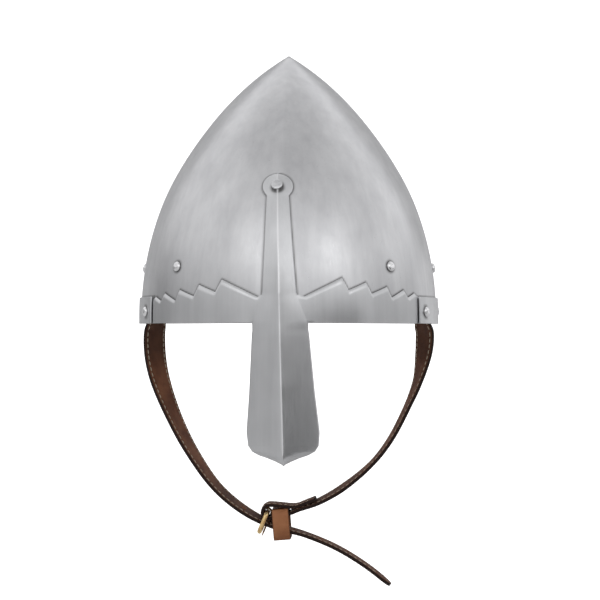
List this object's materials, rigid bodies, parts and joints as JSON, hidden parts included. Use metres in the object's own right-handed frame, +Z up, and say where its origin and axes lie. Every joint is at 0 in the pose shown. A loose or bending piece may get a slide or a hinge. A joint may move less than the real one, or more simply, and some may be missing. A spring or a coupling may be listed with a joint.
{
  "type": "conical nasal helmet with chin strap",
  "caption": "Conical steel helmet with a saw-edged brow plate, stem and nose guard, a riveted rim band and a buckled leather chin strap.",
  "frame": {"origin": "middle of the helmet's rim, level with the rim's edge at the sides and back, where a head goes in", "axes": "+Z up to the point, the nasal faces -Y, +X to the wearer's left"},
  "size_m": [0.2158, 0.2528, 0.3779],
  "materials": {
    "bowl_steel": "satin, finely hand-ground",
    "plate_steel": "satin",
    "rivet_steel": "bright, domed by hammer",
    "strap_leather": "dark brown oiled leather, stitched along both edges",
    "keeper_leather": "smooth tan leather",
    "brass": "polished, a little worn"
  },
  "bodies": {
    "root": {"skull": "bowl_steel", "front_plate": "plate_steel", "rear_band": "plate_steel", "stem_rivet": "rivet_steel", "ring_rivet_1": "rivet_steel", "ring_rivet_2": "rivet_steel", "ring_rivet_3": "rivet_steel", "ring_rivet_4": "rivet_steel", "ring_rivet_5": "rivet_steel", "strap_rivet_1": "rivet_steel", "strap_rivet_2": "rivet_steel", "overlap_rivet_1": "rivet_steel", "overlap_rivet_2": "rivet_steel", "ear_rivet_1": "rivet_steel", "ear_rivet_2": "rivet_steel", "rear_rivet_1": "rivet_steel", "rear_rivet_2": "rivet_steel", "strap_billet": "strap_leather", "strap_buckle_side": "strap_leather", "keeper": "keeper_leather", "buckle_frame": "brass", "buckle_prong": "brass"}
  },
  "joints": []
}
